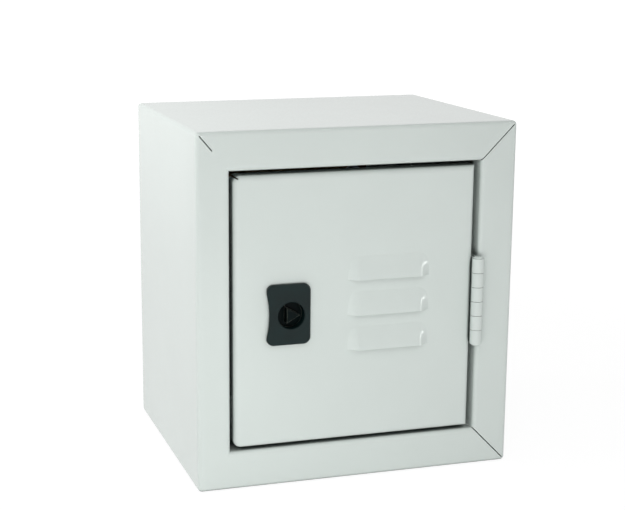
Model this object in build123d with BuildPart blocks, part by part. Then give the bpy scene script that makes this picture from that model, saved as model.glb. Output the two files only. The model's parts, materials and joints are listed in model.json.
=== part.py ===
from build123d import *
from math import atan2, degrees
import os

# Telephone junction box: a folded sheet-steel wall box with an inset door on a pin hinge.
# Millimetres, +Z up. The origin is the middle of the back face, which lies against the wall.
# +Y points into the wall, so the door looks along -Y, and its hinge is on the +X side.

os.makedirs("parts", exist_ok=True)

# Sheet steel, common to the box and the door
sheet = 1.2
bend_inside = 1.2
bend_outside = bend_inside + sheet
overrun = 2.0  # how far a cut runs past the material
turn_clearance = 0.1  # between flat faces that turn on each other
thread_clearance = 0.05  # between a fastener and the hole that it grips

# Box, over its outside faces
box_width = 188.0
box_height = 203.0
box_depth = 152.0

# Front flanges, from the outside of the box to the face of the lip, and the lips turned in from them
flange_latch = 18.7
flange_hinge = 21.5
flange_top = 21.8
flange_bottom = 22.0
lip_depth = 12.0
mitre_gap = 0.6
mitre_start = 2.0  # from the outer corner, along X and along Z
mitre_open_share = 0.42  # of the top latch-side mitre, the rest being welded shut

# Wall fixing holes in the back
fixing_spacing_x = 132.0
fixing_spacing_z = 144.0
fixing_hole_radius = 3.25

# Knock-outs in the bottom
knockout_radius = 11.1
knockout_spacing = 80.0
knockout_slit = 0.5
knockout_tab = 3.0

# Hinge in the gap between the door and the lip
leaf = 1.2
leaf_gap = 1.2
leaf_depth = 10.6  # from the front plane to the far edge of a leaf
leaf_clearance = 0.3  # from a knuckle to the edge of the other leaf
pin_radius = 1.7
pin_clearance = 0.05
knuckle_radius = 3.4
knuckle_count = 6
knuckle_pitch = 8.4
knuckle_gap = 0.24
pin_head_radius = 2.8
pin_head_height = 1.0
pin_head_bevel = 0.7
hinge_z = -1.3

# Door, an inset pan flush with the front flanges
gap_latch = 2.1
gap_hinge = 2 * leaf + leaf_gap
gap_top = 2.8
gap_bottom = 2.0
door_bend_inside = 2.0
door_bend = door_bend_inside + sheet
door_corner = 4.4  # of the two welded corners on the latch side, seen from the front
stop_clearance = 0.4  # between the door's turned edge and its stops
corner_slit = 0.8  # left open in the weld of the top latch-side corner
corner_slit_run = 2.9
corner_slit_drop = 1.7

# Louvres pressed outwards from the door, open along their lower edge
louvre_count = 3
louvre_height = 16.0
louvre_rise = 3.2
louvre_root = 0.2  # how far behind the door's face the hood's curves begin
louvre_end = 7.5
louvre_pitch = 20.3
louvre_start = 65.2  # from the latch edge of the door
louvre_inset = 25.9  # from the hinge edge of the door
louvre_middle_z = -4.8  # lower edge of the middle one
louvre_bend_share = 0.3  # of louvre_end, how far the end's curve runs level at top and foot
louvre_curve_share = 1.2  # 0 leans the hood most at its lower edge, 2 makes it upright there
louvre_level_shares = (0.0, 0.25, 0.5, 0.7, 0.88)  # of louvre_height, where the hood's sections lie

# Lock: moulded body, turning spindle and cam
lock_inset = 32.5  # from the latch edge of the door to the spindle's axis
lock_z = -2.1
plate_width = 25.4
plate_height = 34.6
plate_thickness = 2.8
plate_shift = -1.5  # from the axis across to the middle of the plate
plate_lift = 0.6  # from the axis up to the middle of the plate
plate_corner = 4.0
plate_edge = 1.0
scallop_length = 24.0
scallop_depth = 1.4
scallop_undercut = 1.2  # how much deeper the scallop is at the door
well_radius = 7.7
well_depth = 6.0
well_edge = 0.5
barrel_radius = 11.0
barrel_flats = 19.0
barrel_clearance = 0.2
head_thickness = 2.5
head_clearance = 0.05
shaft_radius = 5.0
shaft_clearance = 0.05
stub_side = 9.0
stub_below = 0.8  # from the face of the plate down to the end of the stub
stub_edge = 0.3
square_side = 6.6
square_clearance = 0.1
lock_nut_flats = 27.0
lock_nut_thickness = 4.5
nut_bevel_angle = 60.0  # of the cone that takes the corners off a nut, from its axis
nut_bevel_inset = 0.2  # from a nut's flats to the round of its face

cam_clearance = 0.6  # behind the lip's free edge
cam_thickness = 2.0
cam_width = 16.0
cam_engagement = 7.0  # reach past the lip when locked
cam_tip_corner = 5.0
cam_washer_radius = 6.0
cam_washer_thickness = 1.0
cam_screw_radius = 2.5
cam_screw_length = 7.0
cam_screw_spare = 1.0  # depth of the tapped hole past the screw's end
cam_screw_head_radius = 4.4
cam_screw_head_height = 2.8
cam_screw_head_edge = 1.0

# Door stops, two angle tabs behind the latch-side lip
stop_spacing = 116.0
stop_length = 16.0
stop_sheet = 1.2
stop_hold = 8.0  # length of the leg that is welded to the lip
stop_reach = 4.5  # past the door's latch edge

# Backboard on its welded studs
board_width = 112.0
board_height = 124.0
board_thickness = 12.0
board_edge = 1.0
board_stud_spacing_x = 92.0
board_stud_spacing_z = 104.0
board_stud_radius = 2.5
board_stud_length = 22.0
stud_end = 0.6  # bevel on the free end of a stud
board_hole_clearance = 0.5
board_washer_radius = 6.0
board_washer_thickness = 1.2
board_nut_flats = 8.0
board_nut_thickness = 4.0

# Terminal strip
terminal_count = 6
terminal_pitch = 12.0
strip_height = 36.0
strip_base = 9.0
strip_ear = 10.0
strip_edge = 0.8
barrier_thickness = 1.6
barrier_rise = 5.0
terminal_clearance = 0.4
terminal_plate_height = 28.0
terminal_plate_thickness = 1.0
terminal_screw_spacing = 18.0
terminal_screw_radius = 1.5
terminal_screw_length = 7.0
terminal_head_radius = 3.0
terminal_head_height = 2.0
terminal_head_edge = 0.4
ear_screw_radius = 1.9
ear_screw_length = 17.0
ear_head_radius = 3.5
ear_head_height = 2.2
ear_head_edge = 0.8
slot_width = 0.8
slot_depth = 1.0

# Earth stud on the back, beside the board
earth_gap = 10.0  # from the hinge-side edge of the backboard to the stud's axis
earth_z = -20.0
earth_stud_radius = 3.0
earth_stud_length = 18.0
earth_washer_radius = 6.4
earth_washer_thickness = 1.4
earth_nut_flats = 10.0
earth_nut_thickness = 5.0

# Places worked out from the sizes above
front = -box_depth
front_plane = Plane.XZ.offset(box_depth)
open_left = -box_width / 2 + flange_latch
open_right = box_width / 2 - flange_hinge
open_bottom = -box_height / 2 + flange_bottom
open_top = box_height / 2 - flange_top
open_width = open_right - open_left
open_height = open_top - open_bottom
open_middle = ((open_left + open_right) / 2, (open_bottom + open_top) / 2)

door_left = open_left + gap_latch
door_right = open_right - gap_hinge
door_bottom = open_bottom + gap_bottom
door_top = open_top - gap_top
door_width = door_right - door_left
door_height = door_top - door_bottom
door_middle = ((door_left + door_right) / 2, (door_bottom + door_top) / 2)
door_return = lip_depth - stop_clearance

hinge_x = door_right + leaf + leaf_gap / 2
hinge_y = front - knuckle_radius
hinge_length = knuckle_count * knuckle_pitch
hinge_bottom = hinge_z - hinge_length / 2
knuckle_bore = pin_radius + pin_clearance

louvre_length = door_width - louvre_start - louvre_inset

lock_x = door_left + lock_inset
lock_axis = (lock_x, lock_z)
plate_x = lock_x + plate_shift
plate_z = lock_z + plate_lift
cam_front = front + lip_depth + cam_clearance
barrel_back = cam_front - turn_clearance
well_floor = front - plate_thickness + well_depth + head_thickness + turn_clearance
head_front = front - plate_thickness + well_depth
cam_back = cam_front + cam_thickness
cam_reach = lock_inset + gap_latch + cam_engagement

back_inside = -sheet
earth_x = board_width / 2 + earth_gap
board_front = back_inside - board_thickness
strip_front = board_front - strip_base
strip_length = terminal_count * terminal_pitch + barrier_thickness + 2 * strip_ear
plate_front = strip_front - terminal_plate_thickness
ear_spacing = strip_length - strip_ear
terminal_plate_width = terminal_pitch - barrier_thickness - 2 * terminal_clearance


def facing(y):
    """Return the upright plane at depth y that looks out of the door, with +X right and +Z up."""
    return Plane.XZ.offset(-y)


def save(piece, name):
    """Label a finished piece and write its file."""
    piece.part.label = name
    export_step(piece.part, f"parts/{name}.step")


def around_opening(edges, y):
    """Keep the edges at depth y that run round the opening, inside the flanges' outer edges."""
    near = 3 * sheet / 2
    return (
        edges.filter_by_position(Axis.Y, y - sheet / 2, y + sheet / 2)
        .filter_by_position(Axis.X, open_left - near, open_right + near)
        .filter_by_position(Axis.Z, open_bottom - near, open_top + near)
    )


# Body shell: back, four walls, mitred front flanges and the lips turned in round the opening
with BuildPart() as body_shell:
    with BuildSketch(Plane.XZ):
        Rectangle(box_width, box_height)
    extrude(amount=box_depth)
    fillet(body_shell.edges(), radius=bend_outside)
    offset(amount=-sheet, mode=Mode.SUBTRACT)
    with BuildSketch(front_plane):
        with Locations(open_middle):
            Rectangle(open_width + 2 * sheet, open_height + 2 * sheet)
    extrude(amount=-lip_depth)
    with BuildSketch(front_plane.offset(overrun)):
        with Locations(open_middle):
            Rectangle(open_width, open_height)
    extrude(amount=-(lip_depth + 2 * overrun), mode=Mode.SUBTRACT)
    fillet(around_opening(body_shell.edges(), front + sheet), radius=bend_inside)
    fillet(around_opening(body_shell.edges(), front), radius=bend_outside)

    # Wall fixing holes
    with BuildSketch(Plane.XZ.offset(-overrun)):
        with GridLocations(fixing_spacing_x, fixing_spacing_z, 2, 2):
            Circle(fixing_hole_radius)
    extrude(amount=sheet + 2 * overrun, mode=Mode.SUBTRACT)

    # Knock-outs, each held by two tabs
    with BuildSketch(Plane.XY.offset(-box_height / 2)):
        with Locations((0, -box_depth / 2)):
            with GridLocations(knockout_spacing, 0, 2, 1):
                Circle(knockout_radius)
                Circle(knockout_radius - knockout_slit, mode=Mode.SUBTRACT)
                Rectangle(2 * knockout_radius, knockout_tab, mode=Mode.SUBTRACT)
    extrude(amount=sheet, mode=Mode.SUBTRACT)

    # Open mitres, from the outer corners of the front to the corners of the opening
    outer_right = box_width / 2 - mitre_start
    outer_left = -box_width / 2 + mitre_start
    outer_top = box_height / 2 - mitre_start
    outer_bottom = -box_height / 2 + mitre_start
    weld_x = outer_left + mitre_open_share * (open_left - outer_left)
    weld_z = outer_top + mitre_open_share * (open_top - outer_top)
    with BuildSketch(front_plane):
        with BuildLine():
            Line((outer_right, outer_top), (open_right, open_top))
        trace(line_width=mitre_gap)
        with BuildLine():
            Line((outer_right, outer_bottom), (open_right, open_bottom))
        trace(line_width=mitre_gap)
        with BuildLine():
            Line((outer_left, outer_top), (weld_x, weld_z))
        trace(line_width=mitre_gap)
    extrude(amount=-bend_outside, mode=Mode.SUBTRACT)
save(body_shell, "body_shell")


def louvre_section(level, root, height):
    """Draw a louvre's cross-section at one level: a straight crown with an S-curve down at each end."""
    right = door_right - louvre_inset
    left = right - louvre_length
    crown = root - height
    level_run = louvre_bend_share * louvre_end
    with BuildSketch(Plane.XY.offset(level)) as section:
        with BuildLine():
            Bezier(
                (right, root),
                (right - level_run, root),
                (right - louvre_end + level_run, crown),
                (right - louvre_end, crown),
            )
            Line((right - louvre_end, crown), (left + louvre_end, crown))
            Bezier(
                (left + louvre_end, crown),
                (left + louvre_end - level_run, crown),
                (left + level_run, root),
                (left, root),
            )
            Line((left, root), (right, root))
        make_face()
    return section.sketch


def louvre_sections(lower_edge, root):
    """Return the sections of one hood, from its open lower edge up to where it meets the sheet."""
    full_height = louvre_rise + louvre_root
    return [
        louvre_section(
            lower_edge + share * louvre_height,
            root,
            full_height * (1 - share) ** 2 * (1 + louvre_curve_share * share),
        )
        for share in louvre_level_shares
    ]


# Door panel: a pan with its edges turned back, three louvres and the hole for the lock
with BuildPart() as door_panel:
    with BuildSketch(front_plane) as outline:
        with Locations(door_middle):
            Rectangle(door_width, door_height)
        fillet(outline.vertices().group_by(Axis.X)[0], radius=door_corner)
    extrude(amount=-door_return)
    fillet(door_panel.faces().sort_by(Axis.Y)[0].edges(), radius=door_bend)
    offset(amount=-sheet, openings=door_panel.faces().sort_by(Axis.Y)[-1])

    # Slit where the weld of the top latch-side corner stops short
    with BuildSketch(front_plane):
        with BuildLine():
            Line((door_left, door_top), (door_left + corner_slit_run, door_top - corner_slit_drop))
        trace(line_width=corner_slit)
    extrude(amount=-door_return, mode=Mode.SUBTRACT)

    # Louvres: every hood is added first, then the hollow behind it is cut through the sheet
    lower_edges = [
        louvre_middle_z + (index - (louvre_count - 1) / 2) * louvre_pitch for index in range(louvre_count)
    ]
    for lower_edge in lower_edges:
        loft(sections=louvre_sections(lower_edge, front + louvre_root))
    for lower_edge in lower_edges:
        loft(sections=louvre_sections(lower_edge, front + louvre_root + sheet), mode=Mode.SUBTRACT)

    # Lock hole with two flats
    with BuildSketch(front_plane.offset(overrun)):
        with Locations(lock_axis):
            Circle(barrel_radius + barrel_clearance)
            Rectangle(
                2 * (barrel_radius + barrel_clearance),
                barrel_flats + 2 * barrel_clearance,
                mode=Mode.INTERSECT,
            )
    extrude(amount=-(sheet + 2 * overrun), mode=Mode.SUBTRACT)
save(door_panel, "door_panel")


def hinge_leaf(inner_edge, first_knuckle):
    """Return one hinge leaf: a plate in the gap with every second knuckle rolled from it."""
    with BuildPart() as hinge_half:
        with BuildSketch(Plane.XY.offset(hinge_bottom)):
            with Locations((inner_edge + leaf / 2, front + leaf_clearance)):
                Rectangle(leaf, leaf_depth - leaf_clearance, align=(Align.CENTER, Align.MIN))
        extrude(amount=hinge_length)
        for index in range(first_knuckle, knuckle_count, 2):
            level = hinge_bottom + index * knuckle_pitch + knuckle_gap / 2
            with BuildSketch(Plane.XY.offset(level)):
                with Locations((inner_edge + leaf / 2, hinge_y)):
                    Rectangle(leaf, knuckle_radius + 2 * leaf_clearance, align=(Align.CENTER, Align.MIN))
                with Locations((hinge_x, hinge_y)):
                    Circle(knuckle_radius)
                    Circle(knuckle_bore, mode=Mode.SUBTRACT)
            extrude(amount=knuckle_pitch - knuckle_gap)
    return hinge_half


# Hinge: the frame's leaf has the lowest knuckle but one, the door's leaf the lowest
hinge_frame_leaf = hinge_leaf(open_right - leaf, 1)
save(hinge_frame_leaf, "hinge_frame_leaf")
hinge_door_leaf = hinge_leaf(door_right, 0)
save(hinge_door_leaf, "hinge_door_leaf")

# Hinge pin with a bevelled head at each end
with BuildPart() as hinge_pin:
    pin_end = hinge_z + hinge_length / 2
    head_top = pin_end + pin_head_height
    with BuildSketch(facing(hinge_y)):
        with BuildLine():
            Polyline(
                (hinge_x, hinge_z),
                (hinge_x + pin_radius, hinge_z),
                (hinge_x + pin_radius, pin_end),
                (hinge_x + pin_head_radius, pin_end),
                (hinge_x + pin_head_radius, head_top - pin_head_bevel),
                (hinge_x + pin_head_radius - pin_head_bevel, head_top),
                (hinge_x, head_top),
                close=True,
            )
        make_face()
    revolve(axis=Axis((hinge_x, hinge_y, hinge_z), (0, 0, 1)))
    mirror(about=Plane.XY.offset(hinge_z))
save(hinge_pin, "hinge_pin")

# Lock body: a plate with a finger scallop, on a barrel that passes through the door
with BuildPart() as lock_body:
    with BuildSketch(front_plane):
        with Locations((plate_x, plate_z)):
            RectangleRounded(plate_width, plate_height, plate_corner)
        scallop_radius = scallop_length**2 / (8 * scallop_depth) + scallop_depth / 2
        scallop_x = plate_x - plate_width / 2 + scallop_depth - scallop_radius
        with Locations((scallop_x, plate_z)):
            Circle(scallop_radius, mode=Mode.SUBTRACT)
    extrude(amount=plate_thickness)
    fillet(lock_body.faces().sort_by(Axis.Y)[0].edges(), radius=plate_edge)

    # The scallop widens towards the door, for a fingertip
    wall = plate_thickness - plate_edge
    with BuildSketch(front_plane):
        with Locations((scallop_x, plate_z)):
            Circle(scallop_radius + scallop_undercut)
    extrude(amount=wall, taper=degrees(atan2(scallop_undercut, wall)), mode=Mode.SUBTRACT)

    # Barrel and key well
    with BuildSketch(front_plane):
        with Locations(lock_axis):
            Circle(barrel_radius)
            Rectangle(2 * barrel_radius, barrel_flats, mode=Mode.INTERSECT)
    extrude(amount=-(barrel_back - front))
    with BuildSketch(front_plane.offset(plate_thickness + overrun)):
        with Locations(lock_axis):
            Circle(well_radius)
    extrude(amount=-(well_floor - front + plate_thickness + overrun), mode=Mode.SUBTRACT)
    with BuildSketch(front_plane):
        with Locations(lock_axis):
            Circle(shaft_radius + shaft_clearance)
    extrude(amount=-(barrel_back - front + overrun), mode=Mode.SUBTRACT)
    well_rim = lock_body.faces().sort_by(Axis.Y)[0].inner_wires()[0].edges()
    chamfer(well_rim, length=well_edge)
save(lock_body, "lock_body")

# Lock nut behind the door sheet
with BuildPart() as lock_nut:
    with BuildSketch(facing(front + sheet)):
        with Locations(lock_axis):
            RegularPolygon(lock_nut_flats / 2, 6, major_radius=False)
            Circle(barrel_radius + thread_clearance, mode=Mode.SUBTRACT)
    extrude(amount=-lock_nut_thickness)
    with BuildSketch(facing(front + sheet + lock_nut_thickness)):
        with Locations(lock_axis):
            Circle(lock_nut_flats / 2 - nut_bevel_inset)
    extrude(amount=lock_nut_thickness, taper=-nut_bevel_angle, mode=Mode.INTERSECT)
save(lock_nut, "lock_nut")

# Lock spindle: head with the triangular stub, shaft, and a square end for the cam
with BuildPart() as lock_spindle:
    with BuildSketch(facing(head_front)):
        with Locations(lock_axis):
            Circle(well_radius - head_clearance)
    extrude(amount=-head_thickness)
    with BuildSketch(facing(head_front)):
        with Locations(lock_axis):
            RegularPolygon(stub_side / 3**0.5, 3)
    extrude(amount=well_depth - stub_below)
    chamfer(lock_spindle.faces().sort_by(Axis.Y)[0].edges(), length=stub_edge)
    with BuildSketch(facing(head_front)):
        with Locations(lock_axis):
            Circle(shaft_radius)
    extrude(amount=-(cam_front - head_front))
    with BuildSketch(facing(cam_front)):
        with Locations(lock_axis):
            Rectangle(square_side, square_side)
    extrude(amount=-(cam_thickness - turn_clearance))
    with BuildSketch(facing(cam_back)):
        with Locations(lock_axis):
            Circle(cam_screw_radius + thread_clearance)
    extrude(amount=cam_screw_length + cam_screw_spare, mode=Mode.SUBTRACT)
save(lock_spindle, "lock_spindle")

# Lock cam, upright when the lock is open
with BuildPart() as lock_cam:
    with BuildSketch(facing(cam_front)):
        with Locations(lock_axis):
            Circle(cam_width / 2)
        with Locations((lock_x, lock_z + cam_reach / 2)):
            Rectangle(cam_width, cam_reach)
        with Locations(lock_axis):
            Rectangle(
                square_side + 2 * square_clearance, square_side + 2 * square_clearance, mode=Mode.SUBTRACT
            )
    extrude(amount=-cam_thickness)
    fillet(lock_cam.edges().filter_by(Axis.Y).group_by(Axis.Z)[-1], radius=cam_tip_corner)
save(lock_cam, "lock_cam")

# Washer and screw that hold the cam
with BuildPart() as cam_washer:
    with BuildSketch(facing(cam_back)):
        with Locations(lock_axis):
            Circle(cam_washer_radius)
            Circle(cam_screw_radius + thread_clearance, mode=Mode.SUBTRACT)
    extrude(amount=-cam_washer_thickness)
save(cam_washer, "cam_washer")

with BuildPart() as cam_screw:
    with BuildSketch(facing(cam_back + cam_washer_thickness)):
        with Locations(lock_axis):
            Circle(cam_screw_head_radius)
    extrude(amount=-cam_screw_head_height)
    chamfer(cam_screw.faces().sort_by(Axis.Y)[-1].edges(), length=cam_screw_head_edge)
    with BuildSketch(facing(cam_back + cam_washer_thickness)):
        with Locations(lock_axis):
            Circle(cam_screw_radius)
    extrude(amount=cam_washer_thickness + cam_screw_length)
    with BuildSketch(facing(cam_back + cam_washer_thickness + cam_screw_head_height)):
        with Locations(lock_axis):
            Rectangle(2 * cam_screw_head_radius, slot_width)
    extrude(amount=slot_depth, mode=Mode.SUBTRACT)
save(cam_screw, "cam_screw")

# Door stops: angle tabs welded behind the latch-side lip
with BuildPart() as door_stops:
    lip_back = open_left - sheet
    stop_face = front + lip_depth
    for level in (-stop_spacing / 2, stop_spacing / 2):
        with BuildSketch(Plane.XY.offset(level - stop_length / 2)):
            with BuildLine():
                Polyline(
                    (lip_back, stop_face - stop_hold),
                    (lip_back - stop_sheet, stop_face - stop_hold),
                    (lip_back - stop_sheet, stop_face + stop_sheet),
                    (door_left + stop_reach, stop_face + stop_sheet),
                    (door_left + stop_reach, stop_face),
                    (lip_back, stop_face),
                    close=True,
                )
            make_face()
        extrude(amount=stop_length)
    bends = door_stops.edges().filter_by(Axis.Z).filter_by_position(
        Axis.X, lip_back - 2 * stop_sheet, lip_back - stop_sheet / 2
    )
    fillet(bends.filter_by_position(Axis.Y, stop_face, stop_face + 2 * stop_sheet), radius=stop_sheet)
save(door_stops, "door_stops")

# Backboard against the back, held on four welded studs
with BuildPart() as backboard:
    with BuildSketch(facing(back_inside)):
        Rectangle(board_width, board_height)
    extrude(amount=board_thickness)
    chamfer(backboard.faces().sort_by(Axis.Y)[0].edges(), length=board_edge)
    with BuildSketch(facing(back_inside + overrun)):
        with GridLocations(board_stud_spacing_x, board_stud_spacing_z, 2, 2):
            Circle(board_stud_radius + board_hole_clearance)
    extrude(amount=board_thickness + 2 * overrun, mode=Mode.SUBTRACT)
    with BuildSketch(facing(board_front)):
        with GridLocations(ear_spacing, 0, 2, 1):
            Circle(ear_screw_radius + thread_clearance)
    extrude(amount=-(ear_screw_length - strip_base), mode=Mode.SUBTRACT)
save(backboard, "backboard")

with BuildPart() as board_studs:
    with BuildSketch(facing(back_inside)):
        with GridLocations(board_stud_spacing_x, board_stud_spacing_z, 2, 2):
            Circle(board_stud_radius)
    extrude(amount=board_stud_length)
    chamfer(board_studs.faces().sort_by(Axis.Y)[:4].edges(), length=stud_end)
save(board_studs, "board_studs")

with BuildPart() as board_washers:
    with BuildSketch(facing(board_front)):
        with GridLocations(board_stud_spacing_x, board_stud_spacing_z, 2, 2):
            Circle(board_washer_radius)
            Circle(board_stud_radius + thread_clearance, mode=Mode.SUBTRACT)
    extrude(amount=board_washer_thickness)
save(board_washers, "board_washers")

with BuildPart() as board_nuts:
    with BuildSketch(facing(board_front - board_washer_thickness)):
        with GridLocations(board_stud_spacing_x, board_stud_spacing_z, 2, 2):
            RegularPolygon(board_nut_flats / 2, 6, major_radius=False)
            Circle(board_stud_radius + thread_clearance, mode=Mode.SUBTRACT)
    extrude(amount=board_nut_thickness)
    with BuildSketch(facing(board_front - board_washer_thickness - board_nut_thickness)):
        with GridLocations(board_stud_spacing_x, board_stud_spacing_z, 2, 2):
            Circle(board_nut_flats / 2 - nut_bevel_inset)
    extrude(amount=-board_nut_thickness, taper=-nut_bevel_angle, mode=Mode.INTERSECT)
save(board_nuts, "board_nuts")

# Terminal strip: moulded base with barriers and an ear at each end
with BuildPart() as terminal_base:
    with BuildSketch(facing(board_front)):
        Rectangle(strip_length, strip_height)
    extrude(amount=strip_base)
    with BuildSketch(facing(strip_front)):
        with GridLocations(terminal_pitch, 0, terminal_count + 1, 1):
            Rectangle(barrier_thickness, strip_height)
    extrude(amount=barrier_rise)
    fillet(terminal_base.edges().filter_by(Axis.Y).group_by(Axis.X)[0], radius=strip_edge)
    fillet(terminal_base.edges().filter_by(Axis.Y).group_by(Axis.X)[-1], radius=strip_edge)
    with BuildSketch(facing(board_front + overrun)):
        with GridLocations(ear_spacing, 0, 2, 1):
            Circle(ear_screw_radius + thread_clearance)
    extrude(amount=strip_base + 2 * overrun, mode=Mode.SUBTRACT)
    with BuildSketch(facing(strip_front)):
        with GridLocations(terminal_pitch, terminal_screw_spacing, terminal_count, 2):
            Circle(terminal_screw_radius + thread_clearance)
    extrude(amount=-terminal_screw_length, mode=Mode.SUBTRACT)
save(terminal_base, "terminal_base")

with BuildPart() as terminal_plates:
    with BuildSketch(facing(strip_front)):
        with GridLocations(terminal_pitch, 0, terminal_count, 1):
            Rectangle(terminal_plate_width, terminal_plate_height)
        with GridLocations(terminal_pitch, terminal_screw_spacing, terminal_count, 2):
            Circle(terminal_screw_radius + thread_clearance, mode=Mode.SUBTRACT)
    extrude(amount=terminal_plate_thickness)
save(terminal_plates, "terminal_plates")

with BuildPart() as terminal_screws:
    with BuildSketch(facing(plate_front)):
        with GridLocations(terminal_pitch, terminal_screw_spacing, terminal_count, 2):
            Circle(terminal_head_radius)
    extrude(amount=terminal_head_height)
    chamfer(terminal_screws.faces().sort_by(Axis.Y)[: 2 * terminal_count].edges(), length=terminal_head_edge)
    with BuildSketch(facing(plate_front)):
        with GridLocations(terminal_pitch, terminal_screw_spacing, terminal_count, 2):
            Circle(terminal_screw_radius)
    extrude(amount=-terminal_screw_length)
    with BuildSketch(facing(plate_front - terminal_head_height)):
        with GridLocations(terminal_pitch, terminal_screw_spacing, terminal_count, 2):
            Rectangle(slot_width, 2 * terminal_head_radius)
    extrude(amount=-slot_depth, mode=Mode.SUBTRACT)
save(terminal_screws, "terminal_screws")

with BuildPart() as terminal_base_screws:
    with BuildSketch(facing(strip_front)):
        with GridLocations(ear_spacing, 0, 2, 1):
            Circle(ear_head_radius)
    extrude(amount=ear_head_height)
    chamfer(terminal_base_screws.faces().sort_by(Axis.Y)[:2].edges(), length=ear_head_edge)
    with BuildSketch(facing(strip_front)):
        with GridLocations(ear_spacing, 0, 2, 1):
            Circle(ear_screw_radius)
    extrude(amount=-ear_screw_length)
    with BuildSketch(facing(strip_front - ear_head_height)):
        with GridLocations(ear_spacing, 0, 2, 1):
            Rectangle(2 * ear_head_radius, slot_width)
    extrude(amount=-slot_depth, mode=Mode.SUBTRACT)
save(terminal_base_screws, "terminal_base_screws")

# Earth stud with its washer and nut
with BuildPart() as earth_stud:
    with BuildSketch(facing(back_inside)):
        with Locations((earth_x, earth_z)):
            Circle(earth_stud_radius)
    extrude(amount=earth_stud_length)
    chamfer(earth_stud.faces().sort_by(Axis.Y)[0].edges(), length=stud_end)
save(earth_stud, "earth_stud")

with BuildPart() as earth_washer:
    with BuildSketch(facing(back_inside)):
        with Locations((earth_x, earth_z)):
            Circle(earth_washer_radius)
            Circle(earth_stud_radius + thread_clearance, mode=Mode.SUBTRACT)
    extrude(amount=earth_washer_thickness)
save(earth_washer, "earth_washer")

with BuildPart() as earth_nut:
    with BuildSketch(facing(back_inside - earth_washer_thickness)):
        with Locations((earth_x, earth_z)):
            RegularPolygon(earth_nut_flats / 2, 6, major_radius=False)
            Circle(earth_stud_radius + thread_clearance, mode=Mode.SUBTRACT)
    extrude(amount=earth_nut_thickness)
    with BuildSketch(facing(back_inside - earth_washer_thickness - earth_nut_thickness)):
        with Locations((earth_x, earth_z)):
            Circle(earth_nut_flats / 2 - nut_bevel_inset)
    extrude(amount=-earth_nut_thickness, taper=-nut_bevel_angle, mode=Mode.INTERSECT)
save(earth_nut, "earth_nut")
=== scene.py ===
import json
import math

import bmesh
import bpy
from mathutils import Matrix, Vector


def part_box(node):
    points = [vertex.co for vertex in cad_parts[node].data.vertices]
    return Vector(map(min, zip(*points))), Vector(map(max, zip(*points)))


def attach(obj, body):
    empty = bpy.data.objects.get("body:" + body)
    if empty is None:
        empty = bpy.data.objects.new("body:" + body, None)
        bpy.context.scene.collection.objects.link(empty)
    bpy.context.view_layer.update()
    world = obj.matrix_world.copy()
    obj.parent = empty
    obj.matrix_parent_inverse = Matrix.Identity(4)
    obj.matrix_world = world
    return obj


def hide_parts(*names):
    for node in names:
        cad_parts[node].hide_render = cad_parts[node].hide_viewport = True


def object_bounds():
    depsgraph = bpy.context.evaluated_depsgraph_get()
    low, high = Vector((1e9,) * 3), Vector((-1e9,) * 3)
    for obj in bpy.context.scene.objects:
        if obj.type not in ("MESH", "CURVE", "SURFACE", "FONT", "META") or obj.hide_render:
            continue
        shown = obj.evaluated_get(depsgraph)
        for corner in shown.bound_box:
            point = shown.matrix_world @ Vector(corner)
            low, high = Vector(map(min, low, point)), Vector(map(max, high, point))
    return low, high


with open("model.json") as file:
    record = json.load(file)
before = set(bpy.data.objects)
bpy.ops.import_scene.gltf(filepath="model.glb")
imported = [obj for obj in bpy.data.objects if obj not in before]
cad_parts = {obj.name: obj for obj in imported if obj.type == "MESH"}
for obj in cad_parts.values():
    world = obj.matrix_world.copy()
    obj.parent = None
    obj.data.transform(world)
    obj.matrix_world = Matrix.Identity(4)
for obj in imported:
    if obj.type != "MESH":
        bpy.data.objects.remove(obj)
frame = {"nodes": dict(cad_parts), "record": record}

# Looks of the telephone junction box: finishes, threads, studio and camera.
# Metres, in the frame of the solids: +Z up, the door faces -Y, and the back lies in the plane Y = 0.

cad_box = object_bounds()

# Camera, fitted to the corners of the box in the photograph
PHOTO_WIDTH = 625
PHOTO_HEIGHT = 510
PRINCIPAL_PIXEL = (256, 255)
FOCAL_PIXELS = 1408.5
SENSOR_MM = 36.0
CAMERA_PLACE = Vector((-0.2715, -0.8732, 0.1984))
CAMERA_YAW = math.radians(16.304)
CAMERA_PITCH = math.radians(12.403)

# Colours, linear
WHITE = (1.0, 1.0, 1.0)
PAINT_COLOUR = (0.63, 0.686, 0.658)
# Painted shade: the dark colour that the grey paint turns towards in narrow gaps and recesses
GAP_SHADE_COLOUR = (0.10, 0.125, 0.115)
PLASTIC_COLOUR = (0.002, 0.010, 0.010)
# Lighter edge colour of the lock plastic: rubbed wear and painted highlight
PLASTIC_RUBBED_AND_HIGHLIGHT = (0.015, 0.025, 0.025)
INSERT_COLOUR = (0.002, 0.005, 0.005)
# Pale edge colour of the insert: rubbed wear and painted highlight
INSERT_RUBBED_AND_HIGHLIGHT = (0.16, 0.17, 0.14)
ZINC_COLOUR = (0.60, 0.62, 0.64)
BRASS_COLOUR = (0.70, 0.50, 0.20)
WOOD_LIGHT = (0.56, 0.38, 0.21)
WOOD_DARK = (0.36, 0.21, 0.10)
GLUE_COLOUR = (0.16, 0.08, 0.04)
RESIN_COLOUR = (0.50, 0.45, 0.34)

# In the finishes, scales are features to the metre, depths and reaches are metres, tones are shares of
# a colour, and a stretch multiplies the scale along each axis. Ranges run from a low value to a high one.
UNIT_RANGE = (0.0, 1.0)
NOISE_RANGE = (0.3, 0.7)  # the values that noise takes nearly everywhere
FINE_DEPTH = 0.00002  # of the grain and tool marks on plastic, resin and metal

# Powder coat
PAINT_DRIFT_SCALE = 14.0
PAINT_TONES = (0.985, 1.015)
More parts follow.
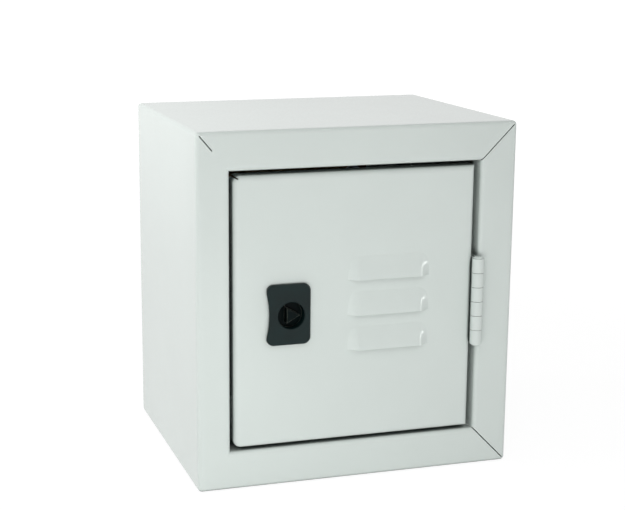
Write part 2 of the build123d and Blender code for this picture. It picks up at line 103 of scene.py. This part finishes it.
# Lighter paint along sharp edges: wear and painted highlight
PAINT_WEAR_AND_HIGHLIGHT_TONE = 1.1
PAINT_WAVE_SCALE = 22.0
PAINT_WAVE_DEPTH = 0.00012
PAINT_PEEL_SCALE = 900.0
PAINT_PEEL_DEPTH = 0.000008
PAINT_ROUGHNESS = (0.17, 0.21)

# Painted shade in narrow gaps: how far the test for open space reaches, and the shares of open space
# at which the painted shade is full and at which it is gone
GAP_REACH = 0.006
GAP_SAMPLES = 8
GAP_SHADE_RANGE = (0.12, 0.42)

# Wear along sharp edges, which on the paint and the black plastic is also painted highlight: its reach on
# each finish, and the likeness of a normal to its rounded one, from the full edge colour to clean
PAINT_WEAR_AND_HIGHLIGHT_REACH = 0.0006
PLASTIC_WEAR_AND_HIGHLIGHT_REACH = 0.0003
METAL_WEAR_REACH = 0.0003
RESIN_WEAR_REACH = 0.0003
EDGE_SAMPLES = 4
EDGE_RANGE = (0.78, 0.98)

# Black plastic of the lock, and of the insert that turns in it
PLASTIC_GRAIN_SCALE = 2600.0
PLASTIC_BLOOM_SCALE = 90.0
PLASTIC_TONES = (0.8, 1.25)
PLASTIC_GLOSS = 0.26
PLASTIC_ROUGHNESS = (0.36, 0.46)
INSERT_GLOSS = 0.06
INSERT_ROUGHNESS = (0.30, 0.42)

# Zinc plate and brass
ZINC_MOTTLE_SCALE = 260.0
ZINC_MARK_SCALE = 1800.0
ZINC_MARK_STRETCH = (1.0, 1.0, 6.0)
ZINC_TONES = (0.86, 1.12)
ZINC_WORN_TONE = 1.3
ZINC_ROUGHNESS = (0.24, 0.42)
BRASS_TARNISH_SCALE = 320.0
BRASS_MARK_SCALE = 1500.0
BRASS_MARK_STRETCH = (6.0, 1.0, 1.0)
BRASS_TONES = (0.78, 1.1)
BRASS_WORN_TONE = 1.25
BRASS_ROUGHNESS = (0.2, 0.36)

# Plywood: figure and pores on its faces, plies and glue on its cut edges
FIGURE_SCALE = 130.0
FIGURE_STRETCH = (1.0, 1.0, 0.07)
PORE_SCALE = 1700.0
PORE_STRETCH = (1.0, 1.0, 0.035)
PORE_DEPTH = 0.00012
PORE_TONE = 0.6
PORE_COVER = (0.0, 0.5)
PORE_RANGE = (0.5, 0.75)
PLY_SCALE = 130.0
PLY_TONE = 0.85
PLY_RANGE = (0.35, 0.65)
GLUE_RANGE = (0.94, 0.99)
FACE_RANGE = (0.4, 0.8)
WOOD_ROUGHNESS = (0.55, 0.75)

# Moulded resin of the terminal strip
RESIN_FLOW_SCALE = 120.0
RESIN_GRAIN_SCALE = 2400.0
RESIN_TONES = (0.9, 1.06)
RESIN_WORN_TONE = 1.2
RESIN_ROUGHNESS = (0.38, 0.5)

# Threads on the studs: radius, pitch and bevel in metres, the form of the thread in shares of the pitch,
# and the number of rings to a pitch and of sides to a ring
BOARD_STUD_RADIUS = 0.0025
BOARD_STUD_PITCH = 0.0008
EARTH_STUD_RADIUS = 0.003
EARTH_STUD_PITCH = 0.001
STUD_BEVEL = 0.0006
THREAD_DEPTH = 0.61
THREAD_CREST = 0.125
THREAD_ROOT = 0.25
THREAD_RINGS = 8
THREAD_SIDES = 32

# Soft boxes, which light the surfaces, and strips, which show only as gloss along the bends.
# Each has its place, the point it is turned to, its width and height, and its power in watts.
# The strips leave out the shell, whose flat top would mirror them as a white patch, seen from behind.
SOFT_BOXES = {
    "front_top": ((-0.15, -0.75, 0.60), (0.00, -0.15, 0.00), 0.60, 0.40, 1.15),
    "low_front": ((-0.12, -0.50, -0.07), (-0.04, -0.15, -0.04), 0.30, 0.06, 0.48),
    "top_left": ((-0.30, -0.05, 0.26), (-0.07, -0.07, 0.10), 0.25, 0.25, 0.50),
    "left_far": ((-0.85, 0.12, 0.15), (-0.09, -0.08, 0.00), 0.40, 0.40, 0.66),
}
STRIPS = {
    "right_strip": ((1.00, -0.88, 0.14), (0.05, -0.15, 0.00), 0.05, 0.46, 2.20),
}
STRIPS_LEAVE_OUT = "body_shell"
AMBIENT_STRENGTH = 0.50

# Floor: its colour where it is seen, its glow near the box and far away, and the light that it gives back
FLOOR_HALF = 14.0
FLOOR_SEEN_ALBEDO = 0.20
FLOOR_GLOW = (0.88, 1.0)
FLOOR_GLOW_REACH = (0.3, 1.6)
FLOOR_BOUNCE_ALBEDO = 0.90
CAMERA_REACH = 4.0 * FLOOR_HALF  # past the far corners of the floor

# Sockets of the Mix node when it mixes colours
MIX_FACTOR = 0
MIX_FIRST = 6
MIX_SECOND = 7
MIX_RESULT = 2


# Node helpers


def new_material(name):
    """Return a new node material with its tree and its Principled shader."""
    material = bpy.data.materials.new(name)
    material.use_nodes = True
    tree = material.node_tree
    return material, tree, tree.nodes["Principled BSDF"]


def add(tree, kind, inputs=None, **settings):
    """Add a node with the given settings; inputs are fixed values or sockets to link from."""
    node = tree.nodes.new(kind)
    for name, value in settings.items():
        setattr(node, name, value)
    for name, value in (inputs or {}).items():
        feed(tree, value, node.inputs[name])
    return node


def feed(tree, value, socket):
    """Set a socket to a fixed value, or link another node's output to it."""
    if isinstance(value, bpy.types.NodeSocket):
        tree.links.new(value, socket)
    else:
        socket.default_value = value


def connect(tree, shader, colour, roughness, normal):
    """Link a colour, a roughness and a normal to a shader."""
    feed(tree, colour, shader.inputs["Base Color"])
    feed(tree, roughness, shader.inputs["Roughness"])
    feed(tree, normal, shader.inputs["Normal"])


def object_space(tree, stretch=(1.0, 1.0, 1.0)):
    """Return the object's own coordinates in metres, stretched along each axis."""
    coords = add(tree, "ShaderNodeTexCoord").outputs["Object"]
    return add(tree, "ShaderNodeMapping", {"Vector": coords, "Scale": stretch}).outputs["Vector"]


def noise(tree, vector, scale, detail, roughness=0.5, distortion=0.0):
    """Return a noise value from 0 to 1 with scale features to the metre."""
    inputs = {
        "Vector": vector,
        "Scale": scale,
        "Detail": detail,
        "Roughness": roughness,
        "Distortion": distortion,
    }
    return add(tree, "ShaderNodeTexNoise", inputs).outputs["Fac"]


def spread(tree, value, target=UNIT_RANGE, source=NOISE_RANGE):
    """Map a value from a source range to a target range, and hold it at the target's ends."""
    inputs = {
        "Value": value,
        "From Min": source[0],
        "From Max": source[1],
        "To Min": target[0],
        "To Max": target[1],
    }
    return add(tree, "ShaderNodeMapRange", inputs).outputs["Result"]


def shade(colour, tone):
    """Return a colour made lighter or darker by a factor."""
    return tuple(channel * tone for channel in colour)


def opaque(colour):
    """Return a colour with full alpha, or a socket as it is."""
    return colour if isinstance(colour, bpy.types.NodeSocket) else (*colour, 1.0)


def blend_colours(tree, factor, first, second):
    """Return a colour between two colours by a factor."""
    inputs = {MIX_FACTOR: factor, MIX_FIRST: opaque(first), MIX_SECOND: opaque(second)}
    return add(tree, "ShaderNodeMix", inputs, data_type="RGBA").outputs[MIX_RESULT]


def bump(tree, height, depth, after=None):
    """Return a normal with bumps of the given depth in metres, on top of an earlier bump if one is given."""
    node = add(tree, "ShaderNodeBump", {"Height": height, "Distance": depth})
    if after is not None:
        feed(tree, after, node.inputs["Normal"])
    return node.outputs["Normal"]


def edge_wear_and_highlight(tree, reach):
    """Return a value that rises from 0 on open faces to 1 along sharp edges."""
    rounded = add(tree, "ShaderNodeBevel", {"Radius": reach}, samples=EDGE_SAMPLES).outputs["Normal"]
    plain = add(tree, "ShaderNodeNewGeometry").outputs["Normal"]
    likeness = add(tree, "ShaderNodeVectorMath", {0: rounded, 1: plain}, operation="DOT_PRODUCT")
    return spread(tree, likeness.outputs["Value"], target=(1.0, 0.0), source=EDGE_RANGE)


def toned(tree, pattern, colour, tones):
    """Return a colour that varies with a pattern between two tones of itself."""
    dark, light = tones
    return blend_colours(tree, spread(tree, pattern), shade(colour, dark), shade(colour, light))


def wear_and_highlight(tree, tone, reach, edge_colour):
    """Return a tone that gives way to an edge colour along sharp edges: wear, and painted highlight on paint
    and plastic.
    """
    return blend_colours(tree, edge_wear_and_highlight(tree, reach), tone, edge_colour)


# Finishes


def powder_coat():
    """Satin grey powder coat: faint orange peel, slow waves in the sheet, painted shade in narrow gaps, and
    painted highlight with wear along sharp edges.
    """
    material, tree, shader = new_material("grey_powder_coat")
    place = object_space(tree)
    drift = noise(tree, place, PAINT_DRIFT_SCALE, detail=4.0)
    peel = noise(tree, place, PAINT_PEEL_SCALE, detail=2.0)
    waves = noise(tree, place, PAINT_WAVE_SCALE, detail=1.0)
    tone = toned(tree, drift, PAINT_COLOUR, PAINT_TONES)
    # Painted highlight and wear: the paint turns lighter along sharp edges.
    tone = wear_and_highlight(tree, tone, PAINT_WEAR_AND_HIGHLIGHT_REACH, shade(PAINT_COLOUR, PAINT_WEAR_AND_HIGHLIGHT_TONE))
    # Painted shade: the paint turns dark where little open space is around it, in gaps and recesses.
    gap = add(tree, "ShaderNodeAmbientOcclusion", {"Distance": GAP_REACH}, samples=GAP_SAMPLES)
    tone = blend_colours(tree, spread(tree, gap.outputs["AO"], source=GAP_SHADE_RANGE), GAP_SHADE_COLOUR, tone)
    normal = bump(tree, peel, PAINT_PEEL_DEPTH, after=bump(tree, waves, PAINT_WAVE_DEPTH))
    connect(tree, shader, tone, spread(tree, peel, PAINT_ROUGHNESS), normal)
    return material


def moulded_black(name, colour, edge_colour, gloss, roughness):
    """Black moulded plastic with a fine spark-eroded grain, a slight bloom, and lighter edges that are
    partly rubbed wear and partly painted highlight.
    """
    material, tree, shader = new_material(name)
    place = object_space(tree)
    grain = noise(tree, place, PLASTIC_GRAIN_SCALE, detail=2.0)
    bloom = noise(tree, place, PLASTIC_BLOOM_SCALE, detail=4.0)
    tone = toned(tree, bloom, colour, PLASTIC_TONES)
    # Painted highlight and rubbed wear: the plastic turns lighter along sharp edges.
    tone = wear_and_highlight(tree, tone, PLASTIC_WEAR_AND_HIGHLIGHT_REACH, edge_colour)
    shader.inputs["Specular IOR Level"].default_value = gloss
    connect(tree, shader, tone, spread(tree, bloom, roughness), bump(tree, grain, FINE_DEPTH))
    return material


def zinc_plate():
    """Bright zinc plating with a mottled passivation and fine tumbling marks."""
    material, tree, shader = new_material("zinc_plated_steel")
    mottle = noise(tree, object_space(tree), ZINC_MOTTLE_SCALE, detail=5.0, roughness=0.6)
    marks = noise(tree, object_space(tree, ZINC_MARK_STRETCH), ZINC_MARK_SCALE, detail=2.0)
    tone = toned(tree, mottle, ZINC_COLOUR, ZINC_TONES)
    tone = wear_and_highlight(tree, tone, METAL_WEAR_REACH, shade(ZINC_COLOUR, ZINC_WORN_TONE))
    shader.inputs["Metallic"].default_value = 1.0
    connect(tree, shader, tone, spread(tree, mottle, ZINC_ROUGHNESS), bump(tree, marks, FINE_DEPTH))
    return material


def brass():
    """Bright brass with turned marks and a slight tarnish."""
    material, tree, shader = new_material("bright_brass")
    tarnish = noise(tree, object_space(tree), BRASS_TARNISH_SCALE, detail=5.0, roughness=0.6)
    marks = noise(tree, object_space(tree, BRASS_MARK_STRETCH), BRASS_MARK_SCALE, detail=2.0)
    tone = toned(tree, tarnish, BRASS_COLOUR, BRASS_TONES)
    tone = wear_and_highlight(tree, tone, METAL_WEAR_REACH, shade(BRASS_COLOUR, BRASS_WORN_TONE))
    shader.inputs["Metallic"].default_value = 1.0
    connect(tree, shader, tone, spread(tree, tarnish, BRASS_ROUGHNESS), bump(tree, marks, FINE_DEPTH))
    return material


def plywood_face(tree, figure, pores):
    """Return the colour of the broad faces: light and dark figure, with darker pores."""
    face = blend_colours(tree, spread(tree, figure), WOOD_LIGHT, WOOD_DARK)
    cover = spread(tree, pores, PORE_COVER, PORE_RANGE)
    return blend_colours(tree, cover, face, shade(WOOD_DARK, PORE_TONE))


def plywood_edge(tree):
    """Return the colour of the cut edges: light and dark plies, with thin lines of glue."""
    inputs = {
        "Vector": object_space(tree),
        "Scale": PLY_SCALE,
        "Distortion": 0.4,
        "Detail": 2.0,
        "Detail Scale": 3.0,
    }
    plies = add(tree, "ShaderNodeTexWave", inputs, wave_type="BANDS", bands_direction="Y").outputs["Fac"]
    edge = blend_colours(tree, spread(tree, plies, source=PLY_RANGE), shade(WOOD_LIGHT, PLY_TONE), WOOD_DARK)
    return blend_colours(tree, spread(tree, plies, source=GLUE_RANGE), edge, GLUE_COLOUR)


def on_face(tree):
    """Return 1 on the broad faces, which look along Y, and 0 on the cut edges."""
    normal = add(tree, "ShaderNodeNewGeometry").outputs["Normal"]
    along = add(tree, "ShaderNodeSeparateXYZ", {"Vector": normal}).outputs["Y"]
    share = add(tree, "ShaderNodeMath", {0: along}, operation="ABSOLUTE").outputs["Value"]
    return spread(tree, share, source=FACE_RANGE)


def plywood():
    """Bare plywood: upright grain on the face, and plies on the cut edges."""
    material, tree, shader = new_material("bare_plywood")
    along_grain = object_space(tree, FIGURE_STRETCH)
    figure = noise(tree, along_grain, FIGURE_SCALE, detail=6.0, roughness=0.6, distortion=0.6)
    pores = noise(tree, object_space(tree, PORE_STRETCH), PORE_SCALE, detail=3.0)
    tone = blend_colours(tree, on_face(tree), plywood_edge(tree), plywood_face(tree, figure, pores))
    connect(tree, shader, tone, spread(tree, figure, WOOD_ROUGHNESS), bump(tree, pores, PORE_DEPTH))
    return material


def moulded_resin():
    """Moulded resin of the terminal strip, with a faint flow pattern."""
    material, tree, shader = new_material("moulded_resin")
    place = object_space(tree)
    flow = noise(tree, place, RESIN_FLOW_SCALE, detail=5.0, distortion=1.2)
    grain = noise(tree, place, RESIN_GRAIN_SCALE, detail=2.0)
    tone = toned(tree, flow, RESIN_COLOUR, RESIN_TONES)
    tone = wear_and_highlight(tree, tone, RESIN_WEAR_REACH, shade(RESIN_COLOUR, RESIN_WORN_TONE))
    connect(tree, shader, tone, spread(tree, flow, RESIN_ROUGHNESS), bump(tree, grain, FINE_DEPTH))
    return material


def lock_plastic():
    """Plastic of the lock's body and nut."""
    name = "black_moulded_plastic"
    return moulded_black(name, PLASTIC_COLOUR, PLASTIC_RUBBED_AND_HIGHLIGHT, PLASTIC_GLOSS, PLASTIC_ROUGHNESS)


def insert_plastic():
    """Deeper black plastic of the insert, pale along its edges: partly rubbed by the key, partly painted
    highlight.
    """
    name = "black_turning_insert"
    return moulded_black(name, INSERT_COLOUR, INSERT_RUBBED_AND_HIGHLIGHT, INSERT_GLOSS, INSERT_ROUGHNESS)


FINISHES = {
    "grey_paint": powder_coat(),
    "black_plastic": lock_plastic(),
    "zinc_steel": zinc_plate(),
    "brass": brass(),
    "plywood": plywood(),
    "moulded_base": moulded_resin(),
}

# Solids whose finish differs from the rest of their slot
OWN_FINISHES = {"lock_spindle": insert_plastic()}


def dress_nodes():
    """Give every solid the finish of its material slot, or its own."""
    for subpart in frame["record"]["subparts"]:
        node = subpart["node"]
        mesh = frame["nodes"][node].data
        mesh.materials.clear()
        mesh.materials.append(OWN_FINISHES.get(node, FINISHES[subpart["material_slot"]]))


# Threaded studs


def thread_radius(along, turn, crest, pitch):
    """Return the radius of a right-hand thread at a distance along its axis and an angle round it."""
    phase = (along / pitch - turn / math.tau) % 1.0
    flank = (abs(2.0 * phase - 1.0) - THREAD_CREST) / (1.0 - THREAD_CREST - THREAD_ROOT)
    return crest - THREAD_DEPTH * pitch * min(max(flank, 0.0), 1.0)


def thread_ring(sheet, foot, along, limit, crest, pitch):
    """Add the points round a stud at a distance along its axis, none further out than the limit."""
    ring = []
    for side in range(THREAD_SIDES):
        turn = math.tau * side / THREAD_SIDES
        radius = min(limit, thread_radius(along, turn, crest, pitch))
        place = Vector((radius * math.cos(turn), -along, radius * math.sin(turn)))
        ring.append(sheet.verts.new(foot + place))
    return ring


def cut_stud(sheet, foot, length, crest, pitch):
    """Add one threaded stud that points to the door, with a bevelled free end."""
    count = round(length / pitch * THREAD_RINGS)
    rings = []
    for step in range(count + 1):
        along = length * step / count
        limit = crest - max(0.0, STUD_BEVEL - (length - along))
        rings.append(thread_ring(sheet, foot, along, limit, crest, pitch))
    for near, far in zip(rings, rings[1:]):
        for side in range(THREAD_SIDES):
            after = (side + 1) % THREAD_SIDES
            face = sheet.faces.new((near[side], near[after], far[after], far[side]))
            face.smooth = True
    sheet.faces.new(rings[0])
    sheet.faces.new(rings[-1])


def stud_axes(low, high, crest):
    """Return where the studs' axes lie between two sides of their box: two of them, or one in the middle."""
    stud_width = 2.0 * crest
    if high - low > 2.0 * stud_width:
        return [low + crest, high - crest]
    return [(low + high) / 2.0]


def make_studs(node, crest, pitch):
    """Replace a node of plain studs by studs with threads, at the same places."""
    low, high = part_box(node)
    sheet = bmesh.new()
    for x in stud_axes(low.x, high.x, crest):
        for z in stud_axes(low.z, high.z, crest):
            cut_stud(sheet, Vector((x, high.y, z)), high.y - low.y, crest, pitch)
    bmesh.ops.recalc_face_normals(sheet, faces=sheet.faces)
    mesh = bpy.data.meshes.new(f"{node}_threaded")
    sheet.to_mesh(mesh)
    sheet.free()
    mesh.materials.append(FINISHES["zinc_steel"])
    piece = bpy.data.objects.new(f"{node}_threaded", mesh)
    bpy.context.scene.collection.objects.link(piece)
    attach(piece, "box")
    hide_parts(node)


# Studio


def larger(tree, first, second):
    """Return the larger of two values."""
    return add(tree, "ShaderNodeMath", {0: first, 1: second}, operation="MAXIMUM").outputs["Value"]


def seen_directly(tree):
    """Return 1 for rays from the camera, from gloss and through glass, and 0 for the rest."""
    rays = add(tree, "ShaderNodeLightPath").outputs
    seen = larger(tree, rays["Is Camera Ray"], rays["Is Glossy Ray"])
    return larger(tree, seen, rays["Is Transmission Ray"])


def split_by_sight(tree, unseen, seen):
    """Return a shader that is one shader where it is seen, and another where it only gives light."""
    inputs = {0: seen_directly(tree), 1: unseen.outputs[0], 2: seen.outputs[0]}
    return add(tree, "ShaderNodeMixShader", inputs).outputs["Shader"]


def make_world():
    """Light the scene with an even dome that looks white."""
    world = bpy.data.worlds.new("studio")
    world.use_nodes = True
    tree = world.node_tree
    tree.nodes.clear()
    dome = add(tree, "ShaderNodeBackground", {"Color": opaque(WHITE), "Strength": AMBIENT_STRENGTH})
    white = add(tree, "ShaderNodeBackground", {"Color": opaque(WHITE), "Strength": 1.0})
    add(tree, "ShaderNodeOutputWorld", {"Surface": split_by_sight(tree, dome, white)})
    bpy.context.scene.world = world


def floor_material():
    """Pale floor that looks white where it is lit and keeps a soft shadow."""
    material = bpy.data.materials.new("pale_floor")
    material.use_nodes = True
    tree = material.node_tree
    tree.nodes.clear()
    seen = add(tree, "ShaderNodeBsdfDiffuse", {"Color": opaque(shade(WHITE, FLOOR_SEEN_ALBEDO))})
    reach = add(tree, "ShaderNodeVectorMath", {0: object_space(tree)}, operation="LENGTH").outputs["Value"]
    level = spread(tree, reach, FLOOR_GLOW, FLOOR_GLOW_REACH)
    glow = add(tree, "ShaderNodeEmission", {"Color": opaque(WHITE), "Strength": level})
    lit = add(tree, "ShaderNodeAddShader", {0: seen.outputs[0], 1: glow.outputs[0]})
    bounce = add(tree, "ShaderNodeBsdfDiffuse", {"Color": opaque(shade(WHITE, FLOOR_BOUNCE_ALBEDO))})
    add(tree, "ShaderNodeOutputMaterial", {"Surface": split_by_sight(tree, bounce, lit)})
    return material


def make_floor():
    """Lay a wide floor under the box."""
    mesh = bpy.data.meshes.new("studio_floor")
    sheet = bmesh.new()
    bmesh.ops.create_grid(sheet, x_segments=1, y_segments=1, size=FLOOR_HALF)
    sheet.to_mesh(mesh)
    sheet.free()
    mesh.materials.append(floor_material())
    floor = bpy.data.objects.new("studio_floor", mesh)
    floor.location = (0.0, 0.0, cad_box[0].z)
    bpy.context.scene.collection.objects.link(floor)


def all_but(node):
    """Return a collection that keeps the light of a lamp linked to it off one solid."""
    receivers = bpy.data.collections.new(f"all_but_{node}")
    receivers.objects.link(frame["nodes"][node])
    receivers.collection_objects[0].light_linking.link_state = "EXCLUDE"
    return receivers


def make_lamps(lamps, lights_surfaces, receivers=None):
    """Hang lamps that light surfaces or show only as gloss, on everything or as the receivers say."""
    for name, (place, aim, width, height, power) in lamps.items():
        lamp = bpy.data.lights.new(name, "AREA")
        lamp.shape = "RECTANGLE"
        lamp.size = width
        lamp.size_y = height
        lamp.energy = power
        holder = bpy.data.objects.new(name, lamp)
        holder.visible_camera = False
        holder.visible_diffuse = lights_surfaces
        holder.visible_glossy = not lights_surfaces
        holder.light_linking.receiver_collection = receivers
        holder.location = place
        holder.rotation_euler = (Vector(aim) - Vector(place)).to_track_quat("-Z", "Y").to_euler()
        bpy.context.scene.collection.objects.link(holder)


def make_camera():
    """Set the camera where the photograph was taken from."""
    forward = Vector(
        (
            math.sin(CAMERA_YAW) * math.cos(CAMERA_PITCH),
            math.cos(CAMERA_YAW) * math.cos(CAMERA_PITCH),
            -math.sin(CAMERA_PITCH),
        )
    )
    right = Vector((math.cos(CAMERA_YAW), -math.sin(CAMERA_YAW), 0.0))
    up = right.cross(forward)
    lens = bpy.data.cameras.new("camera")
    lens.sensor_fit = "HORIZONTAL"
    lens.sensor_width = SENSOR_MM
    lens.lens = FOCAL_PIXELS * SENSOR_MM / PHOTO_WIDTH
    lens.shift_x = 0.5 - PRINCIPAL_PIXEL[0] / PHOTO_WIDTH
    lens.shift_y = (PRINCIPAL_PIXEL[1] - PHOTO_HEIGHT / 2) / PHOTO_WIDTH
    lens.clip_end = CAMERA_REACH
    camera = bpy.data.objects.new("camera", lens)
    turn = Matrix((right, up, -forward)).transposed().to_4x4()
    camera.matrix_world = Matrix.Translation(CAMERA_PLACE) @ turn
    bpy.context.scene.collection.objects.link(camera)
    bpy.context.scene.camera = camera


dress_nodes()
make_studs("board_studs", BOARD_STUD_RADIUS, BOARD_STUD_PITCH)
make_studs("earth_stud", EARTH_STUD_RADIUS, EARTH_STUD_PITCH)
make_world()
make_floor()
make_lamps(SOFT_BOXES, lights_surfaces=True)
make_lamps(STRIPS, lights_surfaces=False, receivers=all_but(STRIPS_LEAVE_OUT))
make_camera()
bpy.context.scene.view_settings.view_transform = "Standard"
